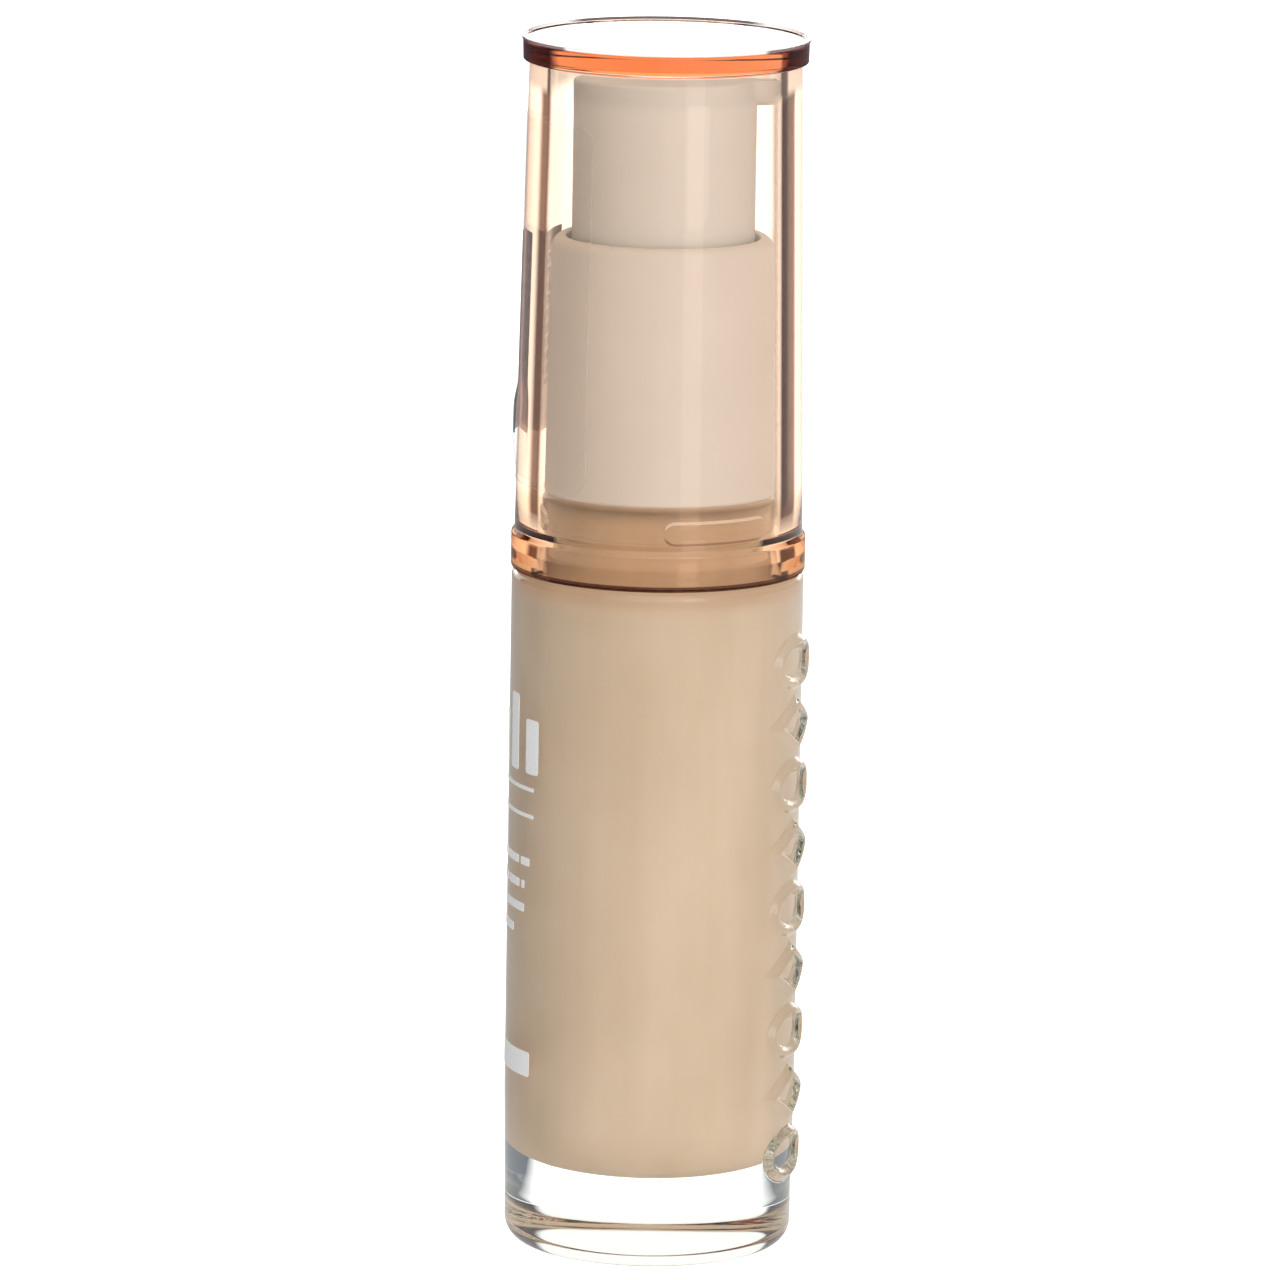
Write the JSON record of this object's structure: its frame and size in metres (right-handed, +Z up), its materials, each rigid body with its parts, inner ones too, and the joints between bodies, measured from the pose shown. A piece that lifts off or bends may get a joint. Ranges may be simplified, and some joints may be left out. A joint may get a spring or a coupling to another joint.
{
  "type": "foundation bottle",
  "caption": "Round thick-bottomed clear glass foundation bottle with an ivory pump, collar sleeve and a clear amber overcap.",
  "frame": {"origin": "middle of the ring that the bottle stands on, on the bottle's axis", "axes": "+Z up along the bottle's axis; -Y is the printed front of the glass; the pump's nozzle points along +Y at rest"},
  "size_m": [0.0302, 0.0308, 0.1258],
  "materials": {
    "clear_glass": "clear polished flint glass",
    "foundation_liquid": "opaque wet liquid seen through the glass",
    "white_ink": "screen printed ink, satin",
    "amber_clear": "clear, tinted amber, polished",
    "label_film": "clear gloss film",
    "ivory_plastic": "satin moulded, opaque ivory",
    "white_plastic": "moulded, satin",
    "natural_plastic": "moulded, translucent natural",
    "clear_tube": "extruded, translucent",
    "soft_white": "soft moulded",
    "steel": "bright stainless"
  },
  "bodies": {
    "bottle": {"glass_bottle": "clear_glass", "foundation_fill": "foundation_liquid", "front_print": "white_ink"},
    "gasket": {"neck_gasket": "soft_white"},
    "pump_body": {"pump_housing": "natural_plastic", "dip_tube": "clear_tube", "spring_seat": "natural_plastic", "stem_guide": "natural_plastic", "return_spring": "steel"},
    "valve_ball": {"inlet_ball": "steel"},
    "closure": {"screw_closure": "white_plastic", "collar_sleeve": "ivory_plastic"},
    "plunger": {"stem": "natural_plastic", "piston_rod": "natural_plastic"},
    "piston": {"piston": "soft_white"},
    "head": {"actuator": "ivory_plastic"},
    "overcap": {"overcap": "amber_clear", "seal_label": "label_film"}
  },
  "joints": [
    {"name": "pump_lift_out", "type": "slide", "parent": "bottle", "child": "gasket", "axis": [0, 0, 1], "range_m": [0, 0.09]},
    {"name": "thread_rise", "type": "slide", "parent": "gasket", "child": "pump_body", "axis": [0, 0, 1], "range_m": [0, 0.00476]},
    {"name": "closure_unscrew", "type": "hinge", "parent": "pump_body", "child": "closure", "pos_m": [0, 0, 0.087], "axis": [0, 0, 1], "range_deg": [0, 540]},
    {"name": "valve_ball_lift", "type": "slide", "parent": "pump_body", "child": "valve_ball", "axis": [0, 0, 1], "range_m": [0, 0.0008]},
    {"name": "head_press", "type": "slide", "parent": "pump_body", "child": "plunger", "axis": [0, 0, -1], "range_m": [0, 0.0045], "stiffness_N_per_m": 1500, "springref_m": -0.004, "deforming": ["return_spring"]},
    {"name": "piston_shift", "type": "slide", "parent": "plunger", "child": "piston", "axis": [0, 0, 1], "range_m": [0, 0.0007]},
    {"name": "head_swivel", "type": "hinge", "parent": "plunger", "child": "head", "pos_m": [0, 0, 0.108], "axis": [0, 0, 1], "continuous": true},
    {"name": "overcap_lift", "type": "slide", "parent": "pump_body", "child": "overcap", "axis": [0, 0, 1], "range_m": [0, 0.06]}
  ],
  "couplings": [
    {"joint": "closure_unscrew", "follows": "thread_rise", "rad_per_m": 1979},
    {"joint": "piston_shift", "follows": "head_press", "ratio": 0.1555}
  ]
}
